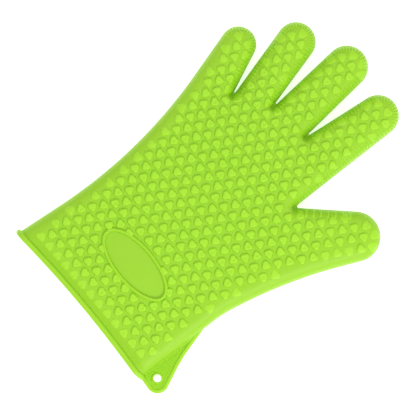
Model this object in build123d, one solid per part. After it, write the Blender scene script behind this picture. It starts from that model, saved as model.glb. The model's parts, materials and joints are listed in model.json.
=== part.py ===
from build123d import *
import math
import os

# Silicone grilling glove, lying on its back-of-hand face with the gripping face up.
# Plan view: +Y runs from the cuff to the fingertips, +X points to the thumb side.
# All sizes are in millimetres. The plan is first drawn with its origin at the
# middle of the cuff opening, then every solid is moved so that the origin is the
# centre of the whole glove's footprint, on the surface the glove lies on.

# ---- driving sizes ----
THICKNESS = 22.0            # back face to gripping face, over the studs
EDGE_ROUND = 9.5            # rounding where each face turns into the sides
STUD_HEIGHT = 1.1           # moulded heart studs, counted in the wall of both faces
FACE_WALL = 2.6             # wall of the two faces, studs included
SIDE_WALL = 2.0             # wall of the sides, which carry no studs
INNER_ROUND = 7.2           # rounding of the pocket's edges
JOINT_GAP = 0.4             # clear space between two regions that flex on each other

CROTCH_RADIUS = 1.0         # rounding at the bottom of the gap between two fingers
WRIST_Y = 78.0              # line where the cuff flexes on the hand
CUFF_LEFT_Y = 1.2           # open end of the cuff, little-finger side
CUFF_RIGHT_Y = -4.8         # open end of the cuff, thumb side
CUFF_LEFT_X = -68.6
CUFF_RIGHT_X = 70.9
RIM_LENGTH = 4.2            # bead round the open end, measured along the sleeve
RIM_ROUND = 10.0
RIM_CLEARANCE = 0.02        # between the bead and the sleeve it stands on
CORE_RUNOUT_Y = -24.0       # how far the drawn outline runs on past the open end
BLOCK_MARGIN = 60.0         # how far a cutting block reaches past the cuff's corners

# Plan outline as a belt round discs: x, y, radius. A positive radius is a disc the
# belt wraps from outside, a negative one a disc that pushes the belt inwards.
LITTLE_TIP = (-61.5, 209.2, 12.7)
RING_TIP = (-34.9, 241.1, 13.9)
MIDDLE_TIP = (3.0, 255.8, 15.1)
INDEX_TIP = (44.1, 248.8, 14.7)
THUMB_TIP = (97.2, 178.1, 17.9)
LITTLE_RING_CROTCH = (-38.0, 184.5, -CROTCH_RADIUS)
RING_MIDDLE_CROTCH = (-11.8, 203.2, -CROTCH_RADIUS)
MIDDLE_INDEX_CROTCH = (20.6, 205.5, -CROTCH_RADIUS)
INDEX_THUMB_CROTCH = (54.4, 165.1, -1.5)
LITTLE_SIDE = (-418.0, 93.4, -360.4)
THUMB_SIDE = (420.4, -9.1, -355.3)
THUMB_HEEL = (168.1, 54.0, -95.3)
CORNER_RADIUS = 12.0
CUFF_LEFT_CORNER = (-57.8, CORE_RUNOUT_Y + CORNER_RADIUS, CORNER_RADIUS)
CUFF_RIGHT_CORNER = (55.6, CORE_RUNOUT_Y + CORNER_RADIUS, CORNER_RADIUS)

OUTLINE = [
    CUFF_LEFT_CORNER, LITTLE_SIDE, LITTLE_TIP, LITTLE_RING_CROTCH, RING_TIP,
    RING_MIDDLE_CROTCH, MIDDLE_TIP, MIDDLE_INDEX_CROTCH, INDEX_TIP,
    INDEX_THUMB_CROTCH, THUMB_TIP, THUMB_SIDE, THUMB_HEEL, CUFF_RIGHT_CORNER,
]

# Digits: tip disc, lean from +Y towards +X in degrees, crotches at its root, and
# where its middle joint lies, as a share of the free length.
DIGITS = {
    "little": (LITTLE_TIP, -17.5, [LITTLE_RING_CROTCH], 0.47),
    "ring": (RING_TIP, -12.0, [LITTLE_RING_CROTCH, RING_MIDDLE_CROTCH], 0.48),
    "middle": (MIDDLE_TIP, -2.3, [RING_MIDDLE_CROTCH, MIDDLE_INDEX_CROTCH], 0.49),
    "index": (INDEX_TIP, 6.9, [MIDDLE_INDEX_CROTCH], 0.48),
    "thumb": (THUMB_TIP, 36.4, [INDEX_THUMB_CROTCH], 0.47),
}
ROOT_MARGIN = 1.0           # from a crotch's rounding to the first joint line
# Lines that keep neighbouring digits apart: a point and a lean from +Y towards +X.
OUTSIDE_LITTLE = (-100.0, 175.0, -17.5)
LITTLE_FROM_RING = (*LITTLE_RING_CROTCH[:2], -14.7)
RING_FROM_MIDDLE = (*RING_MIDDLE_CROTCH[:2], -7.1)
MIDDLE_FROM_INDEX = (*MIDDLE_INDEX_CROTCH[:2], 2.3)
INDEX_FROM_THUMB = (*INDEX_THUMB_CROTCH[:2], 21.6)
OUTSIDE_THUMB = (130.0, 100.0, 36.4)
DIVIDERS = {
    "little": (OUTSIDE_LITTLE, LITTLE_FROM_RING),
    "ring": (LITTLE_FROM_RING, RING_FROM_MIDDLE),
    "middle": (RING_FROM_MIDDLE, MIDDLE_FROM_INDEX),
    "index": (MIDDLE_FROM_INDEX, INDEX_FROM_THUMB),
    "thumb": (INDEX_FROM_THUMB, OUTSIDE_THUMB),
}
PAST_TIP = 30.0             # how far a cutting region runs on past the fingertip

OVAL_CENTRE = (5.35, 48.0)
OVAL_HALF_LENGTH = 32.2
OVAL_HALF_WIDTH = 14.8
OVAL_RIDGE = 2.8            # width of the raised ring
OVAL_TURN = -2.3            # the oval lies along the slightly slanted open end
OVAL_PROUD = 0.3            # how far the ring stands above the studs
OVAL_ROUND = 0.85           # rounding of the ring's crest

TAB_THICKNESS = 2.4
TAB_BEAD_RADIUS = 1.75
TAB_ROOT = (72.8, -3.4, 0.6)        # the tab's corners, as discs that its edge goes round
TAB_APEX = (73.8, 48.8, 0.6)
TAB_CORNER = (78.8, 4.0, 8.4)
TAB_BEAD_TOP = (76.5, 38.0)         # the bead fades out where the web gets narrow
TAB_BEAD_FOOT_X = 74.0
HOLE_CENTRE = (76.9, 5.25)
HOLE_RADIUS = 3.0

MID_Z = THICKNESS / 2


def heading(lean):
    """Unit vector in plan for a lean from +Y towards +X, in degrees."""
    angle = math.radians(lean)
    return Vector(math.sin(angle), math.cos(angle))


def belt_points(first, second):
    """Where the straight run of a clockwise belt leaves one disc and meets the next."""
    x1, y1, r1 = first
    x2, y2, r2 = second
    run = Vector(x2 - x1, y2 - y1)
    along = run.normalized()
    left = Vector(-along.Y, along.X)
    sine = (r2 - r1) / run.length
    normal = left * math.sqrt(1 - sine * sine) - along * sine
    return Vector(x1, y1) + normal * r1, Vector(x2, y2) + normal * r2


def disc_arc(disc, arriving, leaving):
    """Arc of the belt round one disc, between two straight runs."""
    x, y, radius = disc
    outwards = (arriving[1] - arriving[0]).normalized() - (leaving[1] - leaving[0]).normalized()
    crest = Vector(x, y) + outwards.normalized() * abs(radius)
    return ThreePointArc(arriving[1], crest, leaving[0])


def belt_edges(discs, closed=True):
    """Straight runs and disc arcs, in order, of a clockwise belt round the discs."""
    ring = discs + discs[:1] if closed else discs
    runs = [belt_points(first, second) for first, second in zip(ring, ring[1:])]
    edges = []
    for i, run in enumerate(runs):
        edges.append(Line(*run))
        if closed or i + 1 < len(runs):
            edges.append(disc_arc(ring[i + 1], run, runs[(i + 1) % len(runs)]))
    return edges


def glove_outline():
    """Plan outline of the whole moulding, run on past the open end."""
    return make_face(belt_edges(OUTLINE))


def rounded_slab(plan, low, high, rounding):
    """Slab between two heights with all its top and bottom edges rounded."""
    slab = Pos(0, 0, low) * extrude(plan, high - low)
    rims = slab.edges().filter_by_position(Axis.Z, low, low, (True, True))
    rims += slab.edges().filter_by_position(Axis.Z, high, high, (True, True))
    return fillet(rims, rounding)


def glove_envelope():
    """Outside of the moulding, over the studs."""
    return rounded_slab(glove_outline(), 0, THICKNESS, EDGE_ROUND)


def glove_pocket():
    """Space for the hand inside the moulding, open at the cuff."""
    plan = offset(glove_outline(), -SIDE_WALL)
    return rounded_slab(plan, FACE_WALL, THICKNESS - FACE_WALL, INNER_ROUND)


def plan_block(corners):
    """Upright block with the given plan, taller than the glove."""
    return Pos(0, 0, -THICKNESS) * extrude(make_face(Polyline(*corners, close=True)), 3 * THICKNESS)


def crossing(station, direction, divider):
    """Point where a divider meets the line square to a digit at one station."""
    x, y, lean = divider
    way = heading(lean)
    travel = (station - Vector(x, y).dot(direction)) / way.dot(direction)
    return Vector(x, y) + way * travel


def digit_block(name, start, end):
    """Cutting region of one digit between two stations along its axis."""
    direction = heading(DIGITS[name][1])
    left, right = DIVIDERS[name]
    corners = [
        crossing(start, direction, left), crossing(end, direction, left),
        crossing(end, direction, right), crossing(start, direction, right),
    ]
    return plan_block(corners)


def digit_stations(name):
    """Stations of a digit's two joint lines and its tip, along its axis."""
    (x, y, radius), lean, crotches, share = DIGITS[name]
    direction = heading(lean)
    tip = Vector(x, y).dot(direction) + radius
    root = max(Vector(cx, cy).dot(direction) - r for cx, cy, r in crotches) + ROOT_MARGIN
    return root, root + share * (tip - root), tip


def joint_line(name, station):
    """Joint axis of a digit: a point on the gripping face, and its direction."""
    (x, y, _), lean, _, _ = DIGITS[name]
    direction = heading(lean)
    point = Vector(x, y) + direction * (station - Vector(x, y).dot(direction))
    return Vector(point.X, point.Y, THICKNESS), Vector(direction.Y, -direction.X, 0)


def largest(shape):
    """Largest solid of a cut, without slivers from a neighbour."""
    return shape.solids().sort_by(SortBy.VOLUME)[-1]


def digit_parts(shell):
    """Two tubes for each digit, an open one at the root and a closed tip."""
    parts = {}
    for name in DIGITS:
        root, middle, tip = digit_stations(name)
        base = digit_block(name, root + JOINT_GAP / 2, middle - JOINT_GAP / 2)
        end = digit_block(name, middle + JOINT_GAP / 2, tip + PAST_TIP)
        parts[f"{name}_base"] = largest(shell & base)
        parts[f"{name}_tip"] = largest(shell & end)
    return parts


def cuff_edge_y(x):
    """Height in plan of the slanted open end at a given x."""
    slope = (CUFF_RIGHT_Y - CUFF_LEFT_Y) / (CUFF_RIGHT_X - CUFF_LEFT_X)
    return CUFF_LEFT_Y + slope * (x - CUFF_LEFT_X)


def band_block(near, far):
    """Block between two lines parallel to the slanted open end."""
    left, right = CUFF_LEFT_X - BLOCK_MARGIN, CUFF_RIGHT_X + BLOCK_MARGIN
    corners = [
        (left, cuff_edge_y(left) + near), (left, cuff_edge_y(left) + far),
        (right, cuff_edge_y(right) + far), (right, cuff_edge_y(right) + near),
    ]
    return plan_block(corners)


def wrist_block(low, high):
    """Block across the whole glove between two values of y."""
    left, right = CUFF_LEFT_X - BLOCK_MARGIN, CUFF_RIGHT_X + BLOCK_MARGIN
    return plan_block([(left, low), (left, high), (right, high), (right, low)])


def hand_shell(shell):
    """Palm, back of the hand and the short stubs of the fingers."""
    body = shell - wrist_block(-BLOCK_MARGIN, WRIST_Y + JOINT_GAP / 2)
    for name in DIGITS:
        root, _, tip = digit_stations(name)
        body -= digit_block(name, root - JOINT_GAP / 2, tip + PAST_TIP)
    return largest(body)


def oval_prism(half_length, half_width, low, high):
    """Upright oval block over the middle of the cuff's gripping face."""
    x, y = OVAL_CENTRE
    place = Location((x, y, low), (0, 0, OVAL_TURN))
    return extrude(place * Ellipse(half_length, half_width), high - low)


def cuff_sleeve(shell):
    """Sleeve of the cuff, with the shallow oval recess in its gripping face."""
    sleeve = shell & wrist_block(-BLOCK_MARGIN, WRIST_Y - JOINT_GAP / 2)
    sleeve -= band_block(-BLOCK_MARGIN, RIM_LENGTH)
    sleeve -= oval_prism(OVAL_HALF_LENGTH, OVAL_HALF_WIDTH, THICKNESS - STUD_HEIGHT, THICKNESS)
    return largest(sleeve)


def oval_frame():
    """Raised oval ring that stands in the recess of the cuff's gripping face."""
    low, high = THICKNESS - STUD_HEIGHT, THICKNESS + OVAL_PROUD
    outer = oval_prism(OVAL_HALF_LENGTH, OVAL_HALF_WIDTH, low, high)
    inner_length, inner_width = OVAL_HALF_LENGTH - OVAL_RIDGE, OVAL_HALF_WIDTH - OVAL_RIDGE
    ring = outer - oval_prism(inner_length, inner_width, low, high)
    crest = ring.edges().filter_by_position(Axis.Z, high, high, (True, True))
    return fillet(crest, OVAL_ROUND).solid()


def cuff_rim(pocket):
    """Bead round the open end of the cuff."""
    middle_x = (CUFF_LEFT_X + CUFF_RIGHT_X) / 2
    slant = math.degrees(math.atan2(CUFF_RIGHT_Y - CUFF_LEFT_Y, CUFF_RIGHT_X - CUFF_LEFT_X))
    width = math.hypot(CUFF_RIGHT_X - CUFF_LEFT_X, CUFF_RIGHT_Y - CUFF_LEFT_Y)
    place = Location((middle_x, cuff_edge_y(middle_x), MID_Z), (0, 0, slant))
    section = place * Rot(-90, 0, 0) * RectangleRounded(width, THICKNESS, RIM_ROUND)
    bead = extrude(section, RIM_LENGTH - RIM_CLEARANCE)
    return largest(bead - pocket)


def tab_rim():
    """Bead along the tab's outer and bottom edges, down the middle of its thickness."""
    x, y, radius = TAB_CORNER
    bend = radius - TAB_BEAD_RADIUS
    edges = belt_edges([(*TAB_BEAD_TOP, 0), (x, y, bend), (TAB_BEAD_FOOT_X, y - bend, 0)], closed=False)
    path = Pos(0, 0, MID_Z) * Wire(edges)
    profile = Plane(origin=path @ 0, z_dir=path % 0) * Circle(TAB_BEAD_RADIUS)
    return sweep(profile, path=path).solid()


def hang_tab():
    """Triangular web at the thumb-side corner of the cuff, with its hanging hole.

    Its edge runs inside the bead, half a bead's radius short of the bead's outside.
    """
    x, y, radius = TAB_CORNER
    corner = (x, y, radius - TAB_BEAD_RADIUS / 2)
    plan = make_face(belt_edges([TAB_APEX, corner, TAB_ROOT]))
    web = Pos(0, 0, MID_Z - TAB_THICKNESS / 2) * extrude(plan, TAB_THICKNESS)
    hole = Pos(HOLE_CENTRE[0], HOLE_CENTRE[1], MID_Z) * Cylinder(HOLE_RADIUS, THICKNESS)
    return largest(web - hole)


def build():
    """All nodes of the glove, in the drawing frame."""
    envelope = glove_envelope()
    pocket = glove_pocket()
    shell = envelope - pocket
    parts = {
        "hand_shell": hand_shell(shell),
        "cuff_sleeve": cuff_sleeve(shell),
        "cuff_rim": cuff_rim(pocket),
        "oval_frame": oval_frame(),
        "hang_tab": hang_tab(),
        "tab_rim": tab_rim(),
    }
    parts.update(digit_parts(shell))
    return parts


def footprint_centre(parts):
    """Middle of the whole glove's footprint."""
    boxes = [solid.bounding_box() for solid in parts.values()]
    x = (min(box.min.X for box in boxes) + max(box.max.X for box in boxes)) / 2
    y = (min(box.min.Y for box in boxes) + max(box.max.Y for box in boxes)) / 2
    return Vector(x, y)


def main():
    os.makedirs("parts", exist_ok=True)
    parts = build()
    middle = footprint_centre(parts)
    move = Pos(-middle.X, -middle.Y, 0)
    print(f"drawing origin moved by {-middle.X:.3f}, {-middle.Y:.3f}")
    for name, solid in parts.items():
        export_step(move * solid, f"parts/{name}.step")
    for name in DIGITS:
        for station in digit_stations(name)[:2]:
            point, axis = joint_line(name, station)
            point = point - Vector(middle.X, middle.Y, 0)
            print(f"{name} joint at {point.X:.2f}, {point.Y:.2f}, {point.Z:.2f} axis {axis.X:.4f}, {axis.Y:.4f}")


main()
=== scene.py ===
import json
import math

import bmesh
import bpy
import numpy as np
from bpy.props import FloatProperty, FloatVectorProperty, PointerProperty
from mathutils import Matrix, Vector


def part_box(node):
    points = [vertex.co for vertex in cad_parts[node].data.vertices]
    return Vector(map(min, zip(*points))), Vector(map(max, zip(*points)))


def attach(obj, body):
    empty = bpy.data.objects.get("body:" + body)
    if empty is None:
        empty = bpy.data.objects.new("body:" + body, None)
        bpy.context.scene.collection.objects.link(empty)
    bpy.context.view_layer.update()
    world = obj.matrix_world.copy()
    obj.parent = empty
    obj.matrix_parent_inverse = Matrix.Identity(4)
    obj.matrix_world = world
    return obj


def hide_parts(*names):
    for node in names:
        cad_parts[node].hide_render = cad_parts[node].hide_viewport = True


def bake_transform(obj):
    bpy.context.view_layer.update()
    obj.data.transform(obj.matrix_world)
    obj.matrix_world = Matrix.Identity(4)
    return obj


bl_info = {
    "name": "Silicone Grilling Glove",
    "version": (1, 0, 0),
    "blender": (4, 5, 0),
    "location": "3D View > Sidebar > Glove",
    "description": "Builds the skin, grip studs, beads and tab of a moulded silicone glove",
    "category": "Object",
}

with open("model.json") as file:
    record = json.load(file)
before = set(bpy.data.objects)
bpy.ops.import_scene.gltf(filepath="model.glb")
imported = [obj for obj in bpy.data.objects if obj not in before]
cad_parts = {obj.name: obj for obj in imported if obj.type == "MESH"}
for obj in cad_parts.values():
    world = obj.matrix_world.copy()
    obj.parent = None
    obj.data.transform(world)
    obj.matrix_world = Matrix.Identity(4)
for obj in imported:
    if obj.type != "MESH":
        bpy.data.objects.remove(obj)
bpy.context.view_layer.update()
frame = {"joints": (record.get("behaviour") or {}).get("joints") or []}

# Lengths in the code below are millimetres in the glove's drawing frame: x to the
# thumb side, y to the fingertips, z up, with (0, 0) at the middle of the open end.
# Only the last step of making a piece moves it to the shared frame, in metres.
MM = 0.001
JOINTS = {joint["name"]: joint for joint in frame["joints"]}
WRIST_Y = 78.0
WRIST = Vector(JOINTS["wrist_flex"]["pos_m"]) / MM
ORIGIN = np.array([WRIST.x, WRIST.y - WRIST_Y, 0.0])
FULL_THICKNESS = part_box("hand_shell")[1].z / MM
MID_Z = FULL_THICKNESS / 2

# Plan outline as a belt round discs: x, y, radius; a negative radius pushes inwards.
CROTCH_RADIUS = 0.8
LITTLE_TIP = (-61.5, 209.2, 12.7)
RING_TIP = (-34.9, 241.1, 13.9)
MIDDLE_TIP = (3.0, 255.8, 15.1)
INDEX_TIP = (44.1, 248.8, 14.7)
THUMB_TIP = (97.2, 178.1, 17.9)
LITTLE_RING_CROTCH = (-38.0, 184.5, -CROTCH_RADIUS)
RING_MIDDLE_CROTCH = (-11.9, 201.0, -CROTCH_RADIUS)
MIDDLE_INDEX_CROTCH = (20.5, 203.6, -CROTCH_RADIUS)
INDEX_THUMB_CROTCH = (53.7, 162.9, -1.5)
LITTLE_SIDE = (-418.0, 93.4, -360.4)
THUMB_SIDE = (420.4, -9.1, -355.3)
THUMB_HEEL = (168.1, 54.0, -95.3)
CUFF_LEFT_CORNER = (-57.8, -12.0, 12.0)
CUFF_RIGHT_CORNER = (55.6, -12.0, 12.0)
OUTLINE = [
    CUFF_LEFT_CORNER, LITTLE_SIDE, LITTLE_TIP, LITTLE_RING_CROTCH, RING_TIP,
    RING_MIDDLE_CROTCH, MIDDLE_TIP, MIDDLE_INDEX_CROTCH, INDEX_TIP,
    INDEX_THUMB_CROTCH, THUMB_TIP, THUMB_SIDE, THUMB_HEEL, CUFF_RIGHT_CORNER,
]
# Digit: its tip disc, and the crotch on its little-finger side and its thumb side.
DIGITS = {
    "little": (LITTLE_TIP, None, LITTLE_RING_CROTCH),
    "ring": (RING_TIP, LITTLE_RING_CROTCH, RING_MIDDLE_CROTCH),
    "middle": (MIDDLE_TIP, RING_MIDDLE_CROTCH, MIDDLE_INDEX_CROTCH),
    "index": (INDEX_TIP, MIDDLE_INDEX_CROTCH, INDEX_THUMB_CROTCH),
    "thumb": (THUMB_TIP, INDEX_THUMB_CROTCH, None),
}
DIGIT_ORDER = list(DIGITS)
# Stretches of the outline, counted from the cuff's left corner: the run from a disc is
# numbered like the disc, the arc round it one less.
LITTLE_SIDE_RUNS, LITTLE_SIDE_ARCS = (0, 1), (0,)
THUMB_SIDE_RUNS, THUMB_SIDE_ARCS = (10, 11, 12), (10, 11)
# Stretches with fine ribs, each with how far its ribs reach in from the edge.
SHORT_REACH, MIDDLE_REACH, LONG_REACH = 4.4, 7.8, 8.4
RIBBED_RUNS = {
    2: 5.5, 3: SHORT_REACH, 4: MIDDLE_REACH, 5: SHORT_REACH, 6: MIDDLE_REACH,
    7: SHORT_REACH, 8: LONG_REACH,
}
RIBBED_ARCS = {arc: SHORT_REACH for arc in (1, 3, 5, 7)}
WIDE_RIBBED_RUNS = (4, 6, 8)
THUMB_RIBBED_RUN, THUMB_RIB_LENGTH = 9, 6.2

CUFF_SEAM_Y = 86.0          # where the cuff's skin takes over from the hand's
CUFF_BEND_END_Y = 70.0
SEAM_MARGIN = 1.2           # stretch beside a seam that follows one body only
BEND_SHARE = 0.35           # half of a finger bend, as a share of its root segment
OPEN_END_LEFT = (-68.6, 1.2)
OPEN_END_RIGHT = (70.9, -4.8)
OPEN_END_LEAN = 0.043       # how far it drops for each millimetre towards the thumb side
OPEN_END_RAISE = 1.5        # how far its middle lies above the straight line
OPEN_END_BOW = 2.2          # how far it falls away again at OPEN_END_BOW_X
OPEN_END_BOW_X = 60.0
TAB_SIDE_X = 62.0           # where the open end straightens towards the tab
TAB_SIDE_SLOPE = 0.10

FINGER_STUD_SHARE = 0.78    # height of the studs on the fingers beside the palm's
CREASE_DEPTH = 8.0          # folds that run on from the crotches between the digits
CREASE_LENGTH = 7.5
CREASE_FULL_LENGTH = 3.5    # as far as this a fold keeps its whole depth
CREASE_AHEAD = 8.0          # how far a fold reaches into the gap between the digits
CREASE_WIDTH = 2.3
NECK_DEPTH = 1.9            # how much the sleeve draws in before its rim
NECK_START, NECK_FULL = 10.5, 4.0       # measured from the open end

OVAL_CENTRE = (5.35, 48.0)
OVAL_RECESS = 0.35          # how far the oval's blank face lies below the skin
OVAL_TURN = math.radians(-2.3)
OVAL_LINE = (30.8, 13.4)    # half axes of the recess, along the ring's middle line

TAB_ROOT = (66.0, -3.4, 0.6)
TAB_APEX = (71.2, 56.0, 0.8)
TAB_SIDE = (179.2, 56.6, -105.0)
TAB_CORNER = (78.4, 2.9, 8.3)
HOLE_CENTRE = (76.4, 4.6)
TAB_RIB_PITCH = 1.7
TAB_RIB_HEIGHT = 0.40
HOLE_COLLAR_HEIGHT = 0.9
TAB_BURIED = 5.4            # how far the root runs on into the sleeve
TAB_BOX = ((66, -7), (90, 64))          # plan corners of the space that the tab fills

HORIZON_SHARE = 0.45        # brightness of the surroundings at the horizon beside overhead
OVERHEAD_FROM = 0.8         # upward share of a direction that counts as overhead
KEY_LIGHT = ((0.80, -0.28, 0.76), 0.45)     # place and side, in metres
FILL_LIGHT = ((-0.2, 0.3, 1.5), 1.2)
VIEW_TARGET = (10.6, 113.9)
VIEW_TURN = math.radians(90 - 42.4)         # the fingers point up and to the right

FAR = 1e9                   # stands for no distance found
HAIR = 1e-6                 # slack at the ends of the outline's stretches


# ---------------------------------------------------------------- settings

def length(name, default, description):
    """A length property in metres."""
    return FloatProperty(
        name=name, description=description, default=default,
        precision=5, subtype="DISTANCE", unit="LENGTH",
    )


def colour(name, default, description):
    """A linear RGB colour property."""
    return FloatVectorProperty(
        name=name, description=description, default=default,
        size=3, min=0.0, max=1.0, subtype="COLOR",
    )


class GloveSkinSettings(bpy.types.PropertyGroup):
    stud_room: length("Stud room", 0.0014, "Depth under the outer box left for the studs")
    wall: length("Wall", 0.0016, "Thickness of the silicone skin")
    edge_depth: length("Edge depth", 0.0108, "How far in from the silhouette a face curves")
    edge_power: FloatProperty(
        name="Edge fullness", description="Exponent of the rounded edge's superellipse",
        default=2.2, min=1.5, max=6.0,
    )
    grid: length("Grid", 0.0012, "Spacing of the outer skin's mesh")
    inner_grid: length("Inner grid", 0.0024, "Spacing of the pocket's mesh")


class GloveStudSettings(bpy.types.PropertyGroup):
    width: length("Width", 0.0064, "Width of a heart stud")
    tall: length("Length", 0.0062, "Length of a heart stud along the hand")
    height: length("Height", 0.0014, "Height of a heart stud over the skin")
    pitch_across: length("Pitch across", 0.00917, "Spacing of studs in a row")
    pitch_along: length("Pitch along", 0.0138, "Spacing of rows that point the same way")
    row_shift: length("Row shift", 0.0070, "From a row to the turned row below it")


class GloveTrimSettings(bpy.types.PropertyGroup):
    rim_width: length("Rim width", 0.0042, "Width of the bead round the open end")
    rim_proud: length("Rim height", 0.0023, "Height of that bead over the skin")
    oval_length: length("Oval length", 0.0644, "Length of the oval frame")
    oval_width: length("Oval width", 0.0296, "Width of the oval frame")
    oval_ridge: length("Oval ridge", 0.0028, "Width of the oval frame's ridge")
    oval_proud: length("Oval height", 0.0017, "Height of the oval frame over the skin")
    rib_pitch: length("Rib pitch", 0.0026, "Spacing of the fine ribs on the fingers' sides")
    thumb_rib_pitch: length("Thumb rib pitch", 0.0052, "Spacing of the ribs on the thumb")
    rib_height: length("Rib height", 0.0008, "Height of the fine ribs")
    thumb_rib_height: length("Thumb rib height", 0.0009, "Height of the ribs on the thumb")
    tab_web: length("Tab web", 0.0014, "Thickness of the hanging tab's web")
    tab_bead: length("Tab bead", 0.0034, "Diameter of the bead along the tab")
    hole: length("Hanging hole", 0.0056, "Diameter of the hole in the tab")


class GloveFinishSettings(bpy.types.PropertyGroup):
    skin: colour("Silicone", (0.310, 0.604, 0.020), "Colour of the moulded silicone")
    skin_deep: colour("Silicone, deeper", (0.286, 0.574, 0.015), "Its slightly deeper patches")
    floor: colour("Floor", (0.93, 0.93, 0.93), "Colour of the floor")
    roughness: FloatProperty(
        name="Roughness", description="Roughness of the silicone",
        default=0.46, min=0.0, max=1.0, subtype="FACTOR",
    )


class GloveStageSettings(bpy.types.PropertyGroup):
    floor_size: length("Floor size", 4.0, "Side of the square floor")
    floor_glow: FloatProperty(
        name="Floor glow", description="Even light from the table's white surface",
        default=0.58, min=0.0,
    )
    view_height: length("Camera height", 1.6, "Height of the camera over the floor")
    view_width: length("View width", 0.2987, "Width of the frame at the glove's middle height")
    key_power: FloatProperty(
        name="Key light", description="Power of the large soft light on the thumb side",
        default=5.2, min=0.0, unit="POWER",
    )
    fill_power: FloatProperty(
        name="Fill light", description="Power of the overhead fill light",
        default=3.0, min=0.0, unit="POWER",
    )
    sky: FloatProperty(
        name="Sky", description="Strength of the even white surroundings",
        default=1.0, min=0.0,
    )


def in_mm(value):
    """Millimetres for a setting in metres."""
    return value / MM


# ---------------------------------------------------------------- plan geometry

def unit(vector):
    """The same direction with a length of 1."""
    return vector / np.linalg.norm(vector)


def tangent_run(first, second):
    """Straight run of a clockwise belt between two discs."""
    start, end = np.array(first[:2]), np.array(second[:2])
    along = unit(end - start)
    left = np.array([-along[1], along[0]])
    sine = (second[2] - first[2]) / np.linalg.norm(end - start)
    normal = left * math.sqrt(1 - sine * sine) - along * sine
    return start + normal * first[2], end + normal * second[2]


class Belt:
    """Closed plan outline, made of a clockwise belt's straight runs and disc arcs."""

    def __init__(self, discs):
        ring = discs + discs[:1]
        self.runs = [tangent_run(a, b) for a, b in zip(ring, ring[1:])]
        self.arcs = []
        for i, run in enumerate(self.runs):
            following = self.runs[(i + 1) % len(self.runs)]
            disc = ring[i + 1]
            crest = unit(unit(run[1] - run[0]) - unit(following[1] - following[0]))
            centre = np.array(disc[:2])
            spread = np.dot(unit(run[1] - centre), crest)
            self.arcs.append((centre, disc[2], crest, spread))

    def depth(self, points, runs=None, arcs=None):
        """Distance in from the outline, or from some stretches of it, negative outside."""
        points = np.asarray(points, float)
        best = np.full(len(points), FAR)
        runs = self.runs if runs is None else [self.runs[i] for i in runs]
        arcs = self.arcs if arcs is None else [self.arcs[i] for i in arcs]
        for start, end in runs:
            size = np.linalg.norm(end - start)
            along = (end - start) / size
            offset = points - start
            travel = offset @ along
            inwards = offset[:, 1] * -along[0] + offset[:, 0] * along[1]
            inwards[(travel < -HAIR) | (travel > size + HAIR)] = FAR
            best = np.where(np.abs(inwards) < np.abs(best), inwards, best)
        for centre, radius, crest, spread in arcs:
            offset = points - centre
            reach = np.linalg.norm(offset, axis=1)
            inwards = radius - reach if radius > 0 else reach + radius
            inwards[offset @ crest < (spread - HAIR) * reach] = FAR
            best = np.where(np.abs(inwards) < np.abs(best), inwards, best)
        return best

    def walk_run(self, index, spacing):
        """Evenly spaced points on a straight run, and the outward directions there."""
        start, end = self.runs[index]
        along = unit(end - start)
        count = max(2, round(np.linalg.norm(end - start) / spacing))
        shares = np.arange(count)[:, None] / count
        return start + (end - start) * shares, np.tile([-along[1], along[0]], (count, 1))

    def walk_arc(self, index, spacing):
        """Evenly spaced points on a disc's arc, and the outward directions there."""
        centre, radius, crest, spread = self.arcs[index]
        half = math.acos(max(-1.0, min(1.0, spread)))
        side = math.copysign(1.0, radius)
        count = max(4, round(2 * half * abs(radius) / spacing))
        angles = math.atan2(crest[1], crest[0]) - side * half * (2 * np.arange(count) / count - 1)
        ways = np.column_stack([np.cos(angles), np.sin(angles)])
        return centre + ways * abs(radius), ways * side

    def walk(self, spacing):
        """Evenly spaced points round the outline, and the outward directions there."""
        stretches = []
        for i in range(len(self.runs)):
            stretches += [self.walk_run(i, spacing), self.walk_arc(i, spacing)]
        points, ways = zip(*stretches)
        return np.concatenate(points), np.concatenate(ways)


class Digit:
    """A finger or the thumb: its axis, joint stations and dividing lines, in plan."""

    def __init__(self, name):
        self.tip, left, right = DIGITS[name]
        knuckle, bend = JOINTS[f"{name}_knuckle"], JOINTS[f"{name}_bend"]
        axis = knuckle["axis"]
        self.way = unit(np.array([-axis[1], axis[0]]))
        self.root = float(self.plan_point(knuckle) @ self.way)
        self.bend = float(self.plan_point(bend) @ self.way)
        self.end = float(np.array(self.tip[:2]) @ self.way) + self.tip[2]
        reach = BEND_SHARE * (self.bend - self.root)
        self.seam = self.bend - reach
        self.bend_end = self.bend + reach
        self.crotches = (left, right)

    @staticmethod
    def plan_point(joint):
        """Where a joint's line crosses the digit, in plan."""
        return np.array(joint["pos_m"][:2]) / MM - ORIGIN[:2]

    def station(self, points):
        """How far along the digit's direction plan points lie."""
        return np.asarray(points)[:, :2] @ self.way

    def point(self, station):
        """Point of the digit's own axis at a station, in plan."""
        centre = np.array(self.tip[:2])
        return centre + self.way * (station - centre @ self.way)


HAND_BELT = Belt(OUTLINE)
DIGIT = {name: Digit(name) for name in DIGITS}


def right_of(points, crotch, way):
    """Whether points lie on the thumb side of a line that leaves a crotch."""
    offset = np.asarray(points)[:, :2] - np.array(crotch[:2])
    return offset[:, 0] * way[1] - offset[:, 1] * way[0] > 0


def divider_way(left_name, right_name):
    """Direction of the line that keeps two neighbouring digits apart."""
    return unit(DIGIT[left_name].way + DIGIT[right_name].way)


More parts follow.
